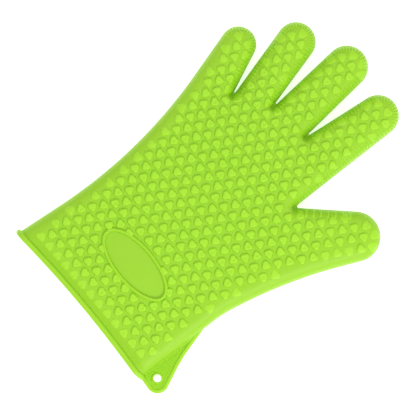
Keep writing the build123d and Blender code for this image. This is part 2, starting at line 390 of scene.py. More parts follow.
def region_of(points):
    """Name of the region of the glove that each plan point belongs to."""
    points = np.asarray(points)
    names = np.full(len(points), "hand", dtype=object)
    names[points[:, 1] < CUFF_SEAM_Y] = "cuff"
    for i, name in enumerate(DIGIT_ORDER):
        digit = DIGIT[name]
        own = digit.station(points) >= digit.root
        if i > 0:
            own &= right_of(points, digit.crotches[0], divider_way(DIGIT_ORDER[i - 1], name))
        if i + 1 < len(DIGIT_ORDER):
            own &= ~right_of(points, digit.crotches[1], divider_way(name, DIGIT_ORDER[i + 1]))
        names[own] = f"{name}_base"
        names[own & (digit.station(points) >= digit.seam)] = f"{name}_tip"
    return names


def open_end_y(x):
    """Where the slanted, slightly hollow open end lies at a given x."""
    slope = (OPEN_END_RIGHT[1] - OPEN_END_LEFT[1]) / (OPEN_END_RIGHT[0] - OPEN_END_LEFT[0])
    straight = OPEN_END_LEFT[1] + slope * (x - OPEN_END_LEFT[0])
    over_tab = np.maximum(x - TAB_SIDE_X, 0)
    bow = OPEN_END_BOW * (np.minimum(x, TAB_SIDE_X) / OPEN_END_BOW_X) ** 2
    return straight + OPEN_END_RAISE - bow + TAB_SIDE_SLOPE * over_tab


def smooth(low, high, value):
    """Smooth step from 0 at low to 1 at high."""
    share = np.clip((value - low) / (high - low), 0, 1)
    return share * share * (3 - 2 * share)


# ---------------------------------------------------------------- surfaces

def crease_depth(plan):
    """How deep the folds that run on from the crotches are at plan points."""
    deepest = np.zeros(len(plan))
    for left, right in zip(DIGIT_ORDER, DIGIT_ORDER[1:]):
        crotch = DIGITS[left][2]
        way = divider_way(left, right)
        offset = plan - np.array(crotch[:2])
        back = -(offset @ way)
        aside = offset[:, 0] * way[1] - offset[:, 1] * way[0]
        depth = CREASE_DEPTH * smooth(CREASE_LENGTH, CREASE_FULL_LENGTH, back)
        depth = depth * (back > -CREASE_AHEAD)
        deepest = np.maximum(deepest, depth * np.exp(-(aside / CREASE_WIDTH) ** 2))
    return deepest


def neck_depth(plan):
    """How much the sleeve draws in just before its rim."""
    run = plan[:, 1] - open_end_y(plan[:, 0])
    return NECK_DEPTH * smooth(NECK_START, NECK_FULL, run)


def oval_reach(points, half_length, half_width):
    """Below 1 inside an oval that lies like the oval frame, above 1 outside."""
    offset = np.asarray(points)[:, :2] - np.array(OVAL_CENTRE)
    cosine, sine = math.cos(OVAL_TURN), math.sin(OVAL_TURN)
    along = offset[:, 0] * cosine + offset[:, 1] * sine
    across = offset[:, 1] * cosine - offset[:, 0] * sine
    return np.hypot(along / half_length, across / half_width)


def oval_half_axes(trim):
    """Half axes of the middle line of the oval frame's ridge."""
    ridge = in_mm(trim.oval_ridge)
    return (in_mm(trim.oval_length) - ridge) / 2, (in_mm(trim.oval_width) - ridge) / 2


class Shell:
    """Pillow-like closed surface over the glove's outline, inset by a given depth."""

    def __init__(self, settings, inset=0.0):
        self.inset = inset
        self.rise = MID_Z - in_mm(settings.stud_room) - inset
        self.round = in_mm(settings.edge_depth) - inset
        self.power = settings.edge_power

    def rise_at(self, plan):
        """Height of the flat part of the faces, less folds, neck and recess."""
        recess = OVAL_RECESS * (oval_reach(plan, *OVAL_LINE) < 1)
        return self.rise - crease_depth(plan) - neck_depth(plan) - recess

    def field(self, points):
        """Roughly the distance inside the surface, negative outside."""
        depth = HAND_BELT.depth(points[:, :2]) - self.inset
        across = np.maximum(self.round - depth, 0) / self.round
        rise = self.rise_at(points[:, :2])
        up = np.abs(points[:, 2] - MID_Z) / rise
        return rise * (1 - (across ** self.power + up ** self.power) ** (1 / self.power))

    def lift(self, plan):
        """Height of the faces over the middle plane at plan points."""
        depth = HAND_BELT.depth(plan) - self.inset
        across = np.clip((self.round - depth) / self.round, 0, 1)
        return self.rise_at(plan) * (1 - across ** self.power) ** (1 / self.power)

    def edge_point(self, turn):
        """Depth and height of the rounded edge at an angle from the silhouette."""
        cosine, sine = abs(math.cos(turn)), math.sin(turn)
        depth = self.round * (1 - cosine ** (2 / self.power))
        return depth, math.copysign(self.rise * abs(sine) ** (2 / self.power), sine)


def gradient(field, points, step=0.04):
    """Slopes of a field along x, y and z."""
    slopes = np.empty_like(points)
    for axis in range(3):
        shift = np.zeros(3)
        shift[axis] = step
        slopes[:, axis] = (field(points + shift) - field(points - shift)) / (2 * step)
    return slopes


def settle(field, points, rounds=3):
    """Points moved onto a field's zero surface, and the outward directions there."""
    for _ in range(rounds):
        slopes = gradient(field, points)
        size = np.maximum((slopes ** 2).sum(1), 1e-6)
        step = field(points) / size
        points = points - slopes * np.clip(step, -1, 1)[:, None]
    slopes = gradient(field, points)
    return points, -slopes / np.maximum(np.linalg.norm(slopes, axis=1), 1e-9)[:, None]


def crossing_sums(values):
    """How many edges of each grid cell the surface crosses, and where in sum."""
    inside = values > 0
    shape = tuple(size - 1 for size in values.shape)
    count = np.zeros(shape, np.int32)
    total = np.zeros(shape + (3,))
    crossings = []
    for axis in range(3):
        near = np.delete(values, -1, axis)
        far = np.delete(values, 0, axis)
        crossed = np.delete(inside, -1, axis) != np.delete(inside, 0, axis)
        share = np.where(crossed, near / np.where(crossed, near - far, 1), 0)
        crossings.append(crossed)
        first, second = [other for other in range(3) if other != axis]
        for one in (0, 1):
            for two in (0, 1):
                pick = [slice(None)] * 3
                pick[first] = slice(one, one + shape[first])
                pick[second] = slice(two, two + shape[second])
                hit = crossed[tuple(pick)]
                count += hit
                total[..., axis] += share[tuple(pick)]
                total[..., first] += hit * one
                total[..., second] += hit * two
    return inside, count, total, crossings


def net_quads(inside, crossed, index, axis):
    """Quads round the crossed grid edges along one axis, facing outwards."""
    first, second = (axis + 1) % 3, (axis + 2) % 3
    edges = np.argwhere(crossed)
    keep = np.ones(len(edges), bool)
    for other in (first, second):
        keep &= (edges[:, other] > 0) & (edges[:, other] < inside.shape[other] - 1)
    edges = edges[keep]
    corners = []
    for one, two in ((1, 1), (0, 1), (0, 0), (1, 0)):
        cell = edges.copy()
        cell[:, first] -= one
        cell[:, second] -= two
        corners.append(index[tuple(cell.T)])
    quads = np.stack(corners, axis=1)
    faces_up = inside[tuple(edges.T)]
    return np.where(faces_up[:, None], quads, quads[:, ::-1])


def surface_net(field, low, high, spacing):
    """Even quad mesh over a field's zero surface inside a box, settled onto it."""
    low, high = np.array(low, float), np.array(high, float)
    sizes = np.ceil((high - low) / spacing).astype(int) + 1
    axes = [low[i] + spacing * np.arange(sizes[i]) for i in range(3)]
    grid = np.stack(np.meshgrid(*axes, indexing="ij"), axis=-1)
    values = field(grid.reshape(-1, 3)).reshape(sizes)
    inside, count, total, crossings = crossing_sums(values)
    active = count > 0
    index = np.full(count.shape, -1)
    index[active] = np.arange(active.sum())
    cells = np.argwhere(active)
    points = low + spacing * (cells + total[active] / count[active][:, None])
    quads = np.concatenate([net_quads(inside, crossings[a], index, a) for a in range(3)])
    points, normals = settle(field, points)
    return points, quads, normals


# ---------------------------------------------------------------- pieces

def body_line(region):
    """Bodies that a region's skin follows, and the plan points between which it turns."""
    if region == "hand":
        return ("hand",), None, None
    if region == "cuff":
        start, end = CUFF_SEAM_Y - SEAM_MARGIN, CUFF_BEND_END_Y
        return ("hand", "cuff"), np.array([0.0, start]), np.array([0.0, end])
    name, part = region.split("_")
    digit = DIGIT[name]
    if part == "base":
        start, end = digit.root + SEAM_MARGIN, digit.seam - SEAM_MARGIN
        return ("hand", region), digit.point(start), digit.point(end)
    start, end = digit.seam + SEAM_MARGIN, digit.bend_end
    return (f"{name}_base", region), digit.point(start), digit.point(end)


def to_frame(points):
    """Points of the drawing frame in the shared frame, in metres."""
    return (np.asarray(points, float) + ORIGIN) * MM


def frame_point(plan, z=MID_Z):
    """A plan point of the drawing frame at a height, in the shared frame."""
    return Vector(to_frame(np.array([[plan[0], plan[1], z]]))[0])


def new_mesh(name, points, faces, normals=None):
    """Mesh object in the shared frame from points in the drawing frame."""
    mesh = bpy.data.meshes.new(name)
    mesh.from_pydata(to_frame(points).tolist(), [], [list(map(int, face)) for face in faces])
    mesh.polygons.foreach_set("use_smooth", [True] * len(mesh.polygons))
    mesh.update()
    if normals is not None:
        mesh.normals_split_custom_set_from_vertices(np.asarray(normals).tolist())
    piece = bpy.data.objects.new(name, mesh)
    bpy.context.scene.collection.objects.link(piece)
    return piece


def keep_faces(points, faces, normals, chosen):
    """The chosen faces, with only the points that they use."""
    faces = faces[chosen]
    used, fresh = np.unique(faces, return_inverse=True)
    return points[used], fresh.reshape(faces.shape), None if normals is None else normals[used]


def finish_piece(piece, finish, region):
    """Gives a piece its material. A piece of a region that follows one body is tied to that body, and
    any other is only fixed in place.
    """
    piece.data.materials.append(bpy.data.materials[finish])
    bodies, start, end = body_line(region)
    if len(bodies) == 1:
        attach(piece, bodies[0])
    else:
        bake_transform(piece)
    return piece


def join_parts(parts):
    """One set of points and faces from several (points, faces) pairs."""
    points, faces, shift = [], [], 0
    for part_points, part_faces in parts:
        points.append(part_points)
        faces += [[corner + shift for corner in face] for face in part_faces]
        shift += len(part_points)
    return np.concatenate(points), faces


def tube_faces(rings, around, closed_ring=True, closed_run=False):
    """Quads that join successive rings of points into a tube."""
    faces = []
    for i in range(rings if closed_run else rings - 1):
        following = (i + 1) % rings
        for j in range(around if closed_ring else around - 1):
            beside = (j + 1) % around
            near, far = i * around, following * around
            faces.append([near + j, near + beside, far + beside, far + j])
    return faces


# ---------------------------------------------------------------- skin

CAD_NODE = {"hand": "hand_shell", "cuff": "cuff_sleeve"}


def region_names():
    """The palm, the cuff and the two halves of each digit."""
    names = ["hand", "cuff"]
    for digit in DIGIT_ORDER:
        names += [f"{digit}_base", f"{digit}_tip"]
    return names


def trimmed(points, faces, origin, towards):
    """Mesh without what lies beyond a plane."""
    mesh = bmesh.new()
    corners = [mesh.verts.new(point) for point in points]
    for face in faces:
        mesh.faces.new([corners[i] for i in face])
    everything = mesh.verts[:] + mesh.edges[:] + mesh.faces[:]
    bmesh.ops.bisect_plane(
        mesh, geom=everything, plane_co=origin, plane_no=towards, clear_outer=True,
    )
    mesh.verts.index_update()
    points = np.array([vertex.co[:] for vertex in mesh.verts])
    faces = [[vertex.index for vertex in face.verts] for face in mesh.faces]
    mesh.free()
    return points, faces


def cut_at_open_end(points, faces, inset):
    """Mesh trimmed at the slanted open end, a little inside the rim bead."""
    start = Vector((OPEN_END_LEFT[0], OPEN_END_LEFT[1] + inset, 0))
    along = Vector((OPEN_END_RIGHT[0] - OPEN_END_LEFT[0], OPEN_END_RIGHT[1] - OPEN_END_LEFT[1], 0))
    return trimmed(points, faces, start, Vector((along.y, -along.x, 0)).normalized())


def skin_layer(shell, spacing, inward):
    """One surface of the skin, as (points, faces, normals) for each region."""
    reach = HAND_BELT.walk(8.0)[0]
    low = [reach[:, 0].min() - 3, OPEN_END_RIGHT[1] - 3, -2]
    high = [reach[:, 0].max() + 3, reach[:, 1].max() + 3, FULL_THICKNESS + 2]
    points, quads, normals = surface_net(shell.field, low, high, spacing)
    if inward:
        quads, normals = quads[:, ::-1], -normals
    owners = region_of(points[quads].mean(1)[:, :2])
    layers = {}
    for region in region_names():
        layers[region] = keep_faces(points, quads, normals, owners == region)
    return layers


class GLOVE_OT_make_skin(bpy.types.Operator):
    """Make the silicone skin of every region, outside and inside"""
    bl_idname = "glove.make_skin"
    bl_label = "Skin"

    def execute(self, context):
        settings = context.scene.glove_skin
        rim_middle = in_mm(context.scene.glove_trim.rim_width) / 2
        outer, inner = Shell(settings), Shell(settings, in_mm(settings.wall))
        layers = [
            (outer, skin_layer(outer, in_mm(settings.grid), False), 1.0),
            (inner, skin_layer(inner, in_mm(settings.inner_grid), True), -1.0),
        ]
        for region in region_names():
            parts, normals = [], []
            for shell, layer, facing in layers:
                points, faces, ways = layer[region]
                if region == "cuff":
                    points, faces = cut_at_open_end(points, faces, rim_middle)
                    ways = settle(shell.field, points, rounds=0)[1] * facing
                parts.append((points, [list(face) for face in faces]))
                normals.append(ways)
            points, faces = join_parts(parts)
            piece = new_mesh(f"{region}_skin", points, faces, np.concatenate(normals))
            # The skin takes the slightly darkened silicone, which is painted shade.
            finish_piece(piece, "skin_painted_shade", region)
            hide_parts(CAD_NODE.get(region, region))
        return {"FINISHED"}


# ---------------------------------------------------------------- studs

# Stud section from its buried skirt to its crown: shares of the outline and the height.
STUD_SECTION = [
    (1.16, -0.45), (1.10, -0.02), (1.03, 0.30), (0.96, 0.68),
    (0.86, 0.92), (0.70, 1.02), (0.30, 1.07),
]
STUD_CROWN = 1.08
STUD_DIMPLE = 0.55          # the same at the middle of a stud with a vent mark
DIMPLED_SHARE = 0.3
DIMPLE_SEED = 7
HEART_CORNERS = 0.12
HEART_NOTCH = 0.09
HEART_NOTCH_WIDTH = 0.42
SUNK_STUD = -0.6            # rise of what would stand inside the oval

STUD_ROWS, STUD_COLUMNS = range(-1, 19), range(-9, 14)
FIRST_STUD = (5.7, 18.2)
ROW_LEAN = math.tan(math.radians(1.0))      # the columns lean by this about ROW_LEAN_Y
ROW_LEAN_Y = 74
PALM_MIDDLE_Y = 100         # the lattice strays as a curve of the distance from here
STRAY_UNIT = 50

# Where studs fade: from no height to full height, by depth in from the edge named.
EDGE_FADE = (2.2, 6.0)
RIBS_FADE = (3.5, 8.0)
LITTLE_SIDE_FADE = (3.5, 12.5)
THUMB_SIDE_FADE = (7.0, 14.0)
CREASE_FADE = (1.2, 0.2)    # by a fold's depth
CUFF_FADE = (5.0, 22.0)     # by the distance from the open end
TIP_FADE = (5, 14)          # by the distance from the fingertip
TIP_STUD_SHARE = 0.4
OVAL_GRIP = 0.8             # how far a stud's centre may lie inside the oval's outer edge
LOWEST_STUD = 0.12
STUD_EDGE_ROOM = 3.2        # least depth of a stud's centre from the outline


def heart_outline(count=30):
    """Rounded heart, one unit wide and long, round its own centre, apex towards -y."""
    turn = np.linspace(0, 2 * math.pi, count, endpoint=False)
    notch = np.exp(-((turn - math.pi) / HEART_NOTCH_WIDTH) ** 2)
    reach = 1 + HEART_CORNERS * np.cos(3 * turn) - HEART_NOTCH * notch
    x, y = -reach * np.sin(turn), -reach * np.cos(turn)
    return np.stack([x / np.ptp(x), y / np.ptp(y)], axis=1)


def strayed(x, y):
    """Where a stud of the even lattice lies: the rows fan out to the thumb and the cuff."""
    u, v = x / STRAY_UNIT, (y - PALM_MIDDLE_Y) / STRAY_UNIT
    return (
        x - 1.2 - 0.4 * u + 0.6 * v + 0.6 * u * u - 0.3 * v * v,
        y + 0.9 + 0.5 * u + 0.2 * v + 1.2 * u * v - 0.4 * v * v,
    )


def stud_lattice(settings):
    """Centres of the studs and whether each points to the cuff."""
    along, across = in_mm(settings.pitch_along), in_mm(settings.pitch_across)
    shift = in_mm(settings.row_shift)
    first_x, first_y = FIRST_STUD
    centres, downwards = [], []
    for row in STUD_ROWS:
        for down in (True, False):
            y = first_y + along * row - (0 if down else shift)
            for column in STUD_COLUMNS:
                x = first_x + across * (column + (0 if down else 0.5)) - ROW_LEAN * (y - ROW_LEAN_Y)
                centres.append(strayed(x, y))
                downwards.append(down)
    return np.array(centres), np.array(downwards)


def stud_fade(points, trim):
    """How tall a stud stands at each place, from 0 to 1."""
    little_side = HAND_BELT.depth(points, LITTLE_SIDE_RUNS, LITTLE_SIDE_ARCS)
    thumb_side = HAND_BELT.depth(points, THUMB_SIDE_RUNS, THUMB_SIDE_ARCS)
    from_ribs = HAND_BELT.depth(points, WIDE_RIBBED_RUNS, ())
    fade = smooth(*EDGE_FADE, HAND_BELT.depth(points))
    fade *= np.where(from_ribs < 0, 1, smooth(*RIBS_FADE, from_ribs))
    fade *= smooth(*LITTLE_SIDE_FADE, little_side)
    fade *= smooth(*THUMB_SIDE_FADE, thumb_side)
    fade *= smooth(*CREASE_FADE, crease_depth(points))
    fade *= smooth(*CUFF_FADE, points[:, 1] - open_end_y(points[:, 0]))
    owners = region_of(points).astype(str)
    tip_start, tip_full = TIP_FADE
    for name, digit in DIGIT.items():
        station = digit.station(points)
        on_digit = FINGER_STUD_SHARE
        on_digit += (1 - FINGER_STUD_SHARE) * smooth(digit.seam, digit.root, station)
        at_tip = smooth(digit.end - tip_start, digit.end - tip_full, station)
        on_digit *= TIP_STUD_SHARE + (1 - TIP_STUD_SHARE) * at_tip
        fade = np.where(np.char.startswith(owners, name), fade * on_digit, fade)
    half_length, half_width = in_mm(trim.oval_length) / 2, in_mm(trim.oval_width) / 2
    inside = oval_reach(points, half_length - OVAL_GRIP, half_width - OVAL_GRIP) < 1
    return np.where(inside, 0.0, fade)


def stud_mesh(centre, down, dimpled, settings, trim, shell, fade, upper):
    """Points of one heart stud, moulded straight up or down from the face."""
    outline = heart_outline() * [in_mm(settings.width), in_mm(settings.tall)]
    if not down:
        outline = -outline
    rings, heights = [], []
    for share, rise in STUD_SECTION:
        rings.append(centre + outline * share)
        heights.append(np.full(len(outline), rise))
    plan = np.concatenate(rings + [centre[None]])
    rise = np.append(np.concatenate(heights), STUD_DIMPLE if dimpled else STUD_CROWN)
    sunk = oval_reach(plan, *oval_half_axes(trim)) < 1
    rise = np.where(sunk, SUNK_STUD, rise)
    height = shell.lift(plan) + rise * fade * in_mm(settings.height)
    z = MID_Z + height if upper else MID_Z - height
    return np.column_stack([plan, z])


def stud_faces(around, upper):
    """Faces of a stud: its sides as a tube, and a fan up to the middle of its crown."""
    rings = len(STUD_SECTION)
    faces = tube_faces(rings, around)
    last = (rings - 1) * around
    faces += [[last + i, last + (i + 1) % around, rings * around] for i in range(around)]
    # The outline runs clockwise seen from above, so the upper side's faces are turned.
    return [face[::-1] for face in faces] if upper else faces


class GLOVE_OT_make_studs(bpy.types.Operator):
    """Make the heart-shaped grip studs on both faces, grouped by region"""
    bl_idname = "glove.make_studs"
    bl_label = "Grip studs"

    def execute(self, context):
        settings, trim = context.scene.glove_studs, context.scene.glove_trim
        shell = Shell(context.scene.glove_skin)
        centres, downwards = stud_lattice(settings)
        fades = stud_fade(centres, trim)
        kept = (fades > LOWEST_STUD) & (HAND_BELT.depth(centres) > STUD_EDGE_ROOM)
        centres, downwards, fades = centres[kept], downwards[kept], fades[kept]
        owners = region_of(centres)
        dimpled = np.random.default_rng(DIMPLE_SEED).random(len(centres)) < DIMPLED_SHARE
        around = len(heart_outline())
        for region in region_names():
            parts = []
            for i in np.flatnonzero(owners == region):
                for upper in (True, False):
                    points = stud_mesh(
                        centres[i], downwards[i], dimpled[i], settings, trim, shell, fades[i], upper,
                    )
                    parts.append((points, stud_faces(around, upper)))
            if parts:
                points, faces = join_parts(parts)
                # The studs take the lightened silicone, a painted highlight on their tops.
                finish_piece(new_mesh(f"{region}_studs", points, faces), "stud_painted_highlight", region)
        return {"FINISHED"}


# ---------------------------------------------------------------- ribs and parting line

# Sections of the fine ribs and the parting line: shares of width and height, then mm.
RIB_SECTION = ((1.0, -0.5), (0.6, 0.55), (0.0, 1.0), (-0.6, 0.55), (-1.0, -0.5))
RIB_STEPS = 19
RIB_SINK = 0.05             # how deep a rib's foot is buried
RIB_WIDTH_SHARE, THUMB_RIB_WIDTH_SHARE = 0.5, 0.42      # of the ribs' pitch
PARTING_SECTION = ((-0.55, -0.25), (-0.38, 0.12), (0.0, 0.24), (0.38, 0.12), (0.55, -0.25))
PARTING_STEP = 1.5


def silhouette_point(start, way):
    """Where a line from inside the outline meets it, in plan."""
    point = np.array(start, float)
    for _ in range(40):
        point = point + way * HAND_BELT.depth(point[None])[0]
    return point


def rib_mesh(edge, outwards, shell, band, height, width):
    """A thin ridge that wraps the rounded edge from face to face."""
    limit = math.acos(max(0.0, 1 - band / shell.round) ** (shell.power / 2))
    turns = np.linspace(-limit, limit, RIB_STEPS)
    line = []
    for turn in turns:
        depth, z = shell.edge_point(turn)
        line.append([*(edge - outwards * depth), MID_Z + z])
    line, out = settle(shell.field, np.array(line), rounds=1)
    taper = smooth(0.3, 0.75, np.abs(turns)) * np.sqrt(1 - (turns / limit) ** 8)
    side = np.array([-outwards[1], outwards[0], 0.0]) * width / 2
    rings = []
    for share, rise in RIB_SECTION:
        rings.append(line + side * share + out * (height * rise * taper - RIB_SINK)[:, None])
    points = np.stack(rings, axis=1).reshape(-1, 3)
    return points, tube_faces(len(turns), len(rings), closed_ring=False)


class GLOVE_OT_make_ribs(bpy.types.Operator):
    """Make the fine ribs across the sides of the fingers and the thumb"""
    bl_idname = "glove.make_ribs"
    bl_label = "Side ribs"

    def execute(self, context):
        trim = context.scene.glove_trim
        shell = Shell(context.scene.glove_skin)
        fine, coarse = in_mm(trim.rib_pitch), in_mm(trim.thumb_rib_pitch)
        height, thumb_height = in_mm(trim.rib_height), in_mm(trim.thumb_rib_height)
        width, thumb_width = fine * RIB_WIDTH_SHARE, coarse * THUMB_RIB_WIDTH_SHARE
        thumb_run = HAND_BELT.walk_run(THUMB_RIBBED_RUN, coarse)
        stretches = [(thumb_run, THUMB_RIB_LENGTH, thumb_width, thumb_height)]
        for run, reach in RIBBED_RUNS.items():
            stretches.append((HAND_BELT.walk_run(run, fine), reach, width, height))
        for arc, reach in RIBBED_ARCS.items():
            stretches.append((HAND_BELT.walk_arc(arc, fine), reach, width, height))
        found = {region: [] for region in region_names()}
        for (edges, ways), reach, breadth, rise in stretches:
            for edge, way, region in zip(edges, ways, region_of(edges - ways)):
                found[region].append(rib_mesh(edge, way, shell, reach, rise, breadth))
        for region, parts in found.items():
            if parts:
                points, faces = join_parts(parts)
                # The ribs take the lightened stud silicone, a painted highlight that makes them show as
                # light bars.
                finish_piece(new_mesh(f"{region}_ribs", points, faces), "stud_painted_highlight", region)
        return {"FINISHED"}


class GLOVE_OT_make_parting_line(bpy.types.Operator):
    """Make the thin raised line that the two halves of the mould leave"""
    bl_idname = "glove.make_parting_line"
    bl_label = "Parting line"

    def execute(self, context):
        plan, ways = HAND_BELT.walk(PARTING_STEP)
        ahead = np.roll(plan, -1, axis=0)
        owners = region_of((plan + ahead) / 2)
        shown = plan[:, 1] > open_end_y(plan[:, 0]) + 2
        rings = []
        for across, rise in PARTING_SECTION:
            edge = plan + ways * rise
            rings.append(np.column_stack([edge, np.full(len(edge), MID_Z + across)]))
        points = np.stack(rings, axis=1).reshape(-1, 3)
        around, count = len(PARTING_SECTION), len(plan)
        for region in region_names():
            faces = []
            for i in np.flatnonzero((owners == region) & shown):
                following = (i + 1) % count
                for j in range(around - 1):
                    near, far = i * around + j, following * around + j
                    faces.append([near, far, far + 1, near + 1])
            faces = np.array(faces)
            own, faces, _ = keep_faces(points, faces, None, slice(None))
            # The parting line takes the slightly darkened skin silicone, which is painted shade.
            finish_piece(new_mesh(f"{region}_parting_line", own, faces), "skin_painted_shade", region)
        return {"FINISHED"}


# ---------------------------------------------------------------- trim

FACE_STEPS = 60             # points of the rim across each face
# Oval ridge's section: shares of its width and its height.
OVAL_SECTION = [
    (-0.62, -0.5), (-0.5, 0.12), (-0.4, 0.62), (-0.24, 0.93), (0.0, 1.0),
    (0.24, 0.93), (0.4, 0.62), (0.5, 0.12), (0.62, -0.5),
]
OVAL_STEPS = 144


def trim_piece(name, points, faces):
    """Mesh object of a trim part, with its material."""
    piece = new_mesh(name, points, faces)
    # Trim takes the lightened silicone, a painted highlight on the raised rim, ring and tab.
    piece.data.materials.append(bpy.data.materials["trim_painted_highlight"])
    return piece


def open_end_loop(shell, count=24):
    """Closed loop round the sleeve's open end, and its outward directions."""
    loop = []
    turns = np.linspace(-math.pi / 2, math.pi / 2, count, endpoint=False)
    middle = (0.0, open_end_y(0.0))
    left, right = (
        silhouette_point(middle, np.array([side, side * -OPEN_END_LEAN])) for side in (-1.0, 1.0)
    )
    for turn in turns:
        depth, z = shell.edge_point(turn)
        loop.append([left[0] + depth, 0.0, MID_Z + z])
    for x in np.linspace(left[0] + shell.round, right[0] - shell.round, FACE_STEPS, endpoint=False):
        loop.append([x, 0.0, MID_Z + shell.rise])
    for turn in turns[::-1] + math.pi / 2 - turns[-1]:
        depth, z = shell.edge_point(turn)
        loop.append([right[0] - depth, 0.0, MID_Z + z])
    for x in np.linspace(right[0] - shell.round, left[0] + shell.round, FACE_STEPS, endpoint=False):
        loop.append([x, 0.0, MID_Z - shell.rise])
    loop = np.array(loop)
    loop[:, 1] = open_end_y(loop[:, 0]) + 2
    return settle(shell.field, loop, rounds=2)


def rim_section(width, proud, wall, count=9):
    """Closed section of the rim bead: how far out, and how far along the sleeve."""
    bulge = np.linspace(0, math.pi, count)
    outside = [(proud * math.sin(turn) ** 0.75, width / 2 * (1 - math.cos(turn))) for turn in bulge]
    outside[-1] = (-0.25, width)
    lip = [(-wall * 0.9, width - 0.3), (-wall - 0.25, width * 0.72), (-wall - 0.4, width * 0.35)]
    return outside + lip + [(-wall - 0.1, 0.35), (-wall * 0.6, 0.02), (-0.2, -0.06)]


class GLOVE_OT_make_cuff_rim(bpy.types.Operator):
    """Make the bead round the open end of the cuff"""
    bl_idname = "glove.make_cuff_rim"
    bl_label = "Cuff rim"

    def execute(self, context):
        skin, trim = context.scene.glove_skin, context.scene.glove_trim
        loop, ways = open_end_loop(Shell(skin))
        section = rim_section(in_mm(trim.rim_width), in_mm(trim.rim_proud), in_mm(skin.wall))
        ways[:, 1] = 0
        ways /= np.linalg.norm(ways, axis=1)[:, None]
        loop[:, 1] = open_end_y(loop[:, 0])
        rings = []
        for out, along in section:
            ring = loop + ways * out
            ring[:, 1] += along
            rings.append(ring)
        points = np.stack(rings, axis=1).reshape(-1, 3)
        faces = tube_faces(len(loop), len(section), closed_run=True)
        piece = trim_piece("cuff_rim_bead", points, faces)
        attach(piece, "cuff")
        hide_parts("cuff_rim")
        return {"FINISHED"}


class GLOVE_OT_make_oval_frame(bpy.types.Operator):
    """Make the raised oval ring on the cuff"""
    bl_idname = "glove.make_oval_frame"
    bl_label = "Oval frame"

    def execute(self, context):
        trim = context.scene.glove_trim
        ridge, proud = in_mm(trim.oval_ridge), in_mm(trim.oval_proud)
        half_length, half_width = oval_half_axes(trim)
        base = MID_Z + Shell(context.scene.glove_skin).rise
        turned_x, turned_y = math.cos(OVAL_TURN), math.sin(OVAL_TURN)
        points = []
        for turn in np.linspace(0, 2 * math.pi, OVAL_STEPS, endpoint=False):
            centre = np.array([half_length * math.cos(turn), half_width * math.sin(turn)])
            out = unit(np.array([math.cos(turn) / half_length, math.sin(turn) / half_width]))
            for across, rise in OVAL_SECTION:
                place = centre + out * across * ridge
                x = OVAL_CENTRE[0] + place[0] * turned_x - place[1] * turned_y
                y = OVAL_CENTRE[1] + place[0] * turned_y + place[1] * turned_x
                points.append([x, y, base + rise * proud])
        faces = tube_faces(OVAL_STEPS, len(OVAL_SECTION), closed_ring=False, closed_run=True)
        piece = trim_piece("oval_ring", np.array(points), [face[::-1] for face in faces])
        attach(piece, "cuff")
        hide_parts("oval_frame")
        return {"FINISHED"}


class GLOVE_OT_make_hang_tab(bpy.types.Operator):
    """Make the triangular hanging tab with its hole, ribs and bead"""
    bl_idname = "glove.make_hang_tab"
    bl_label = "Hanging tab"

    def execute(self, context):
        trim = context.scene.glove_trim
        belt = Belt([TAB_ROOT, TAB_APEX, TAB_SIDE, TAB_CORNER])
        web, bead = in_mm(trim.tab_web) / 2, in_mm(trim.tab_bead) / 2
        hole_radius = in_mm(trim.hole) / 2

        def web_field(points):
            depth = belt.depth(points[:, :2])
            waves = np.cos(points[:, 1] * 2 * math.pi / TAB_RIB_PITCH)
            ribs = TAB_RIB_HEIGHT * waves * smooth(2.6, 4.2, depth)
            rise = np.abs(points[:, 2] - MID_Z)
            to_hole = np.linalg.norm(points[:, :2] - HOLE_CENTRE, axis=1) - hole_radius
            collar = HOLE_COLLAR_HEIGHT * smooth(1.6, 0.7, to_hole)
            thick = web + ribs * smooth(0.6, 1.6, to_hole) + collar
            return np.minimum(np.minimum(thick - rise, depth - 0.8), to_hole)

        def bead_field(points):
            depth = belt.depth(points[:, :2])
            return bead - np.hypot(depth - bead, points[:, 2] - MID_Z)

        root = JOINTS["tab_flex"]
        axis = Vector(root["axis"])
        inwards = Vector((-axis.y, axis.x, 0))
        flex = Vector(root["pos_m"]) / MM - Vector(ORIGIN)
        buried = flex + inwards * TAB_BURIED
        low, high = [*TAB_BOX[0], MID_Z - 3], [*TAB_BOX[1], MID_Z + 3]
        for name, field, spacing, node in (
            ("tab_web", web_field, 0.36, "hang_tab"), ("tab_bead", bead_field, 0.5, "tab_rim"),
        ):
            points, quads, _ = surface_net(field, low, high, spacing)
            points, faces = trimmed(points, quads, buried, inwards)
            piece = trim_piece(name, points, faces)
            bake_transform(piece)
            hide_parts(node)
        return {"FINISHED"}


# ---------------------------------------------------------------- finishes

def add_node(tree, kind, inputs=(), **settings):
    """A node with some of its inputs and settings given."""
    node = tree.nodes.new(kind)
    for key, value in settings.items():
        setattr(node, key, value)
    for key, value in inputs:
        node.inputs[key].default_value = value
    return node


